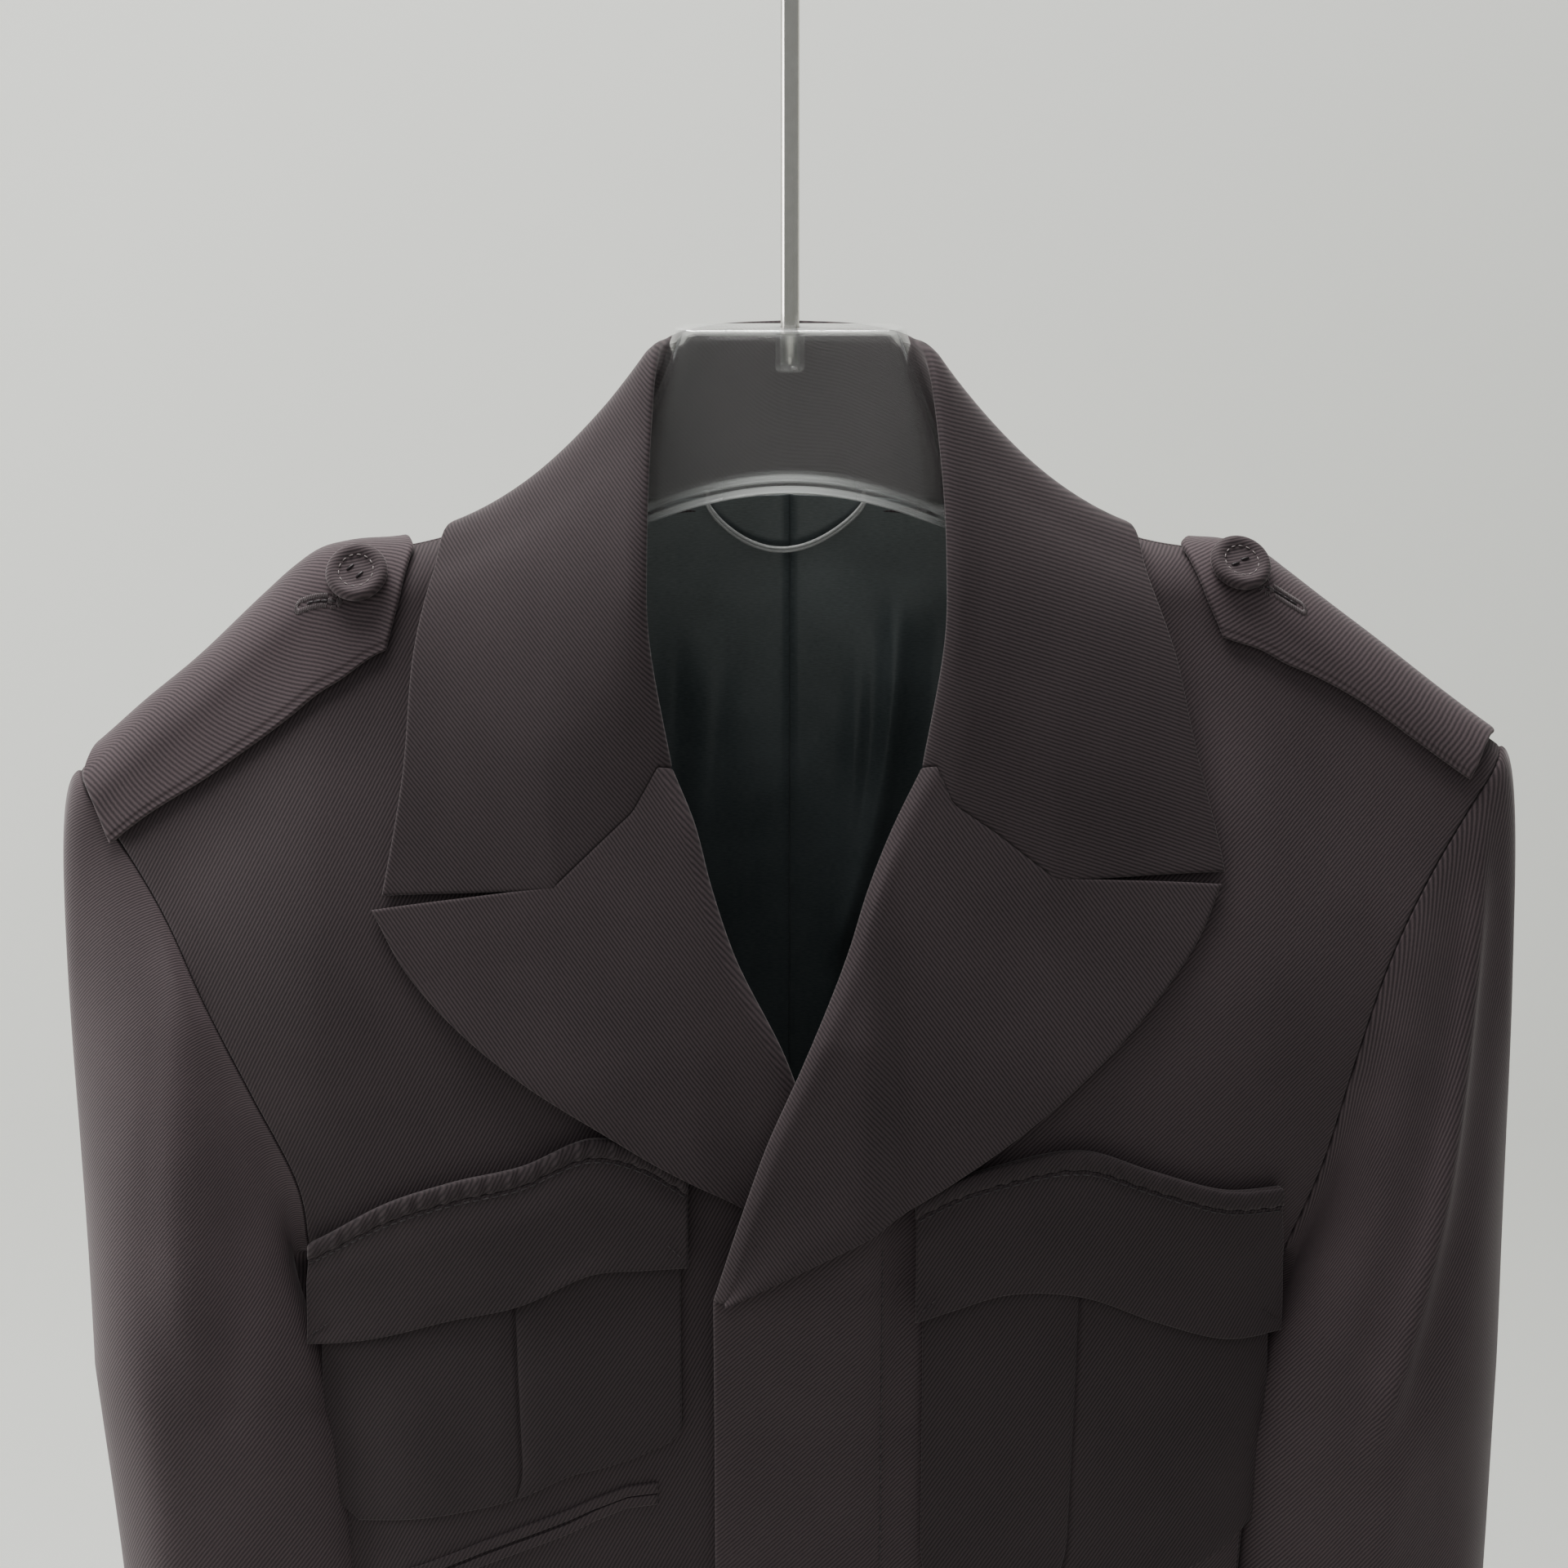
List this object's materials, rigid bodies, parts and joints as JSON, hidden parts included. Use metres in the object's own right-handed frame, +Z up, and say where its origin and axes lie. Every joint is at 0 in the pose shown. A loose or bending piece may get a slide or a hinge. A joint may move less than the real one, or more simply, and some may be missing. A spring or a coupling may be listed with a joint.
{
  "type": "blazer on a clear hanger",
  "caption": "Tailored twill jacket with a very wide collar, peaked lapels, shoulder tabs and breast patch pockets, hanging on a clear hanger.",
  "frame": {"origin": "the point inside the top of the hook's bend where it bears on the peg or rail that holds it", "axes": "+Z up along the hook's rod, -Y out of the jacket's front, +X towards the wearer's left"},
  "size_m": [0.4817, 0.1628, 0.981],
  "materials": {
    "twill": "dark aubergine-brown twill, matt with a faint sheen",
    "satin": "dark green-black satin",
    "clear_acrylic": "clear, polished",
    "polished_steel": "polished"
  },
  "bodies": {
    "root": {"front_left": "twill", "front_right": "twill", "back_left": "twill", "back_right": "twill", "side_left": "twill", "side_right": "twill", "sleeve_upper_left": "twill", "sleeve_upper_right": "twill", "sleeve_under_left": "twill", "sleeve_under_right": "twill", "lapel_left": "twill", "lapel_right": "twill", "collar": "twill", "epaulet_left": "twill", "epaulet_right": "twill", "button_left": "twill", "button_right": "twill", "pocket_body_left": "twill", "pocket_body_right": "twill", "pocket_flap_left": "twill", "pocket_flap_right": "twill", "pocket_welt_left": "twill", "pocket_welt_right": "twill", "jet_upper": "twill", "jet_lower": "twill", "lining_left": "satin", "lining_right": "satin", "hanger_loop": "satin", "hanger_body": "clear_acrylic", "hook": "polished_steel"}
  },
  "joints": []
}
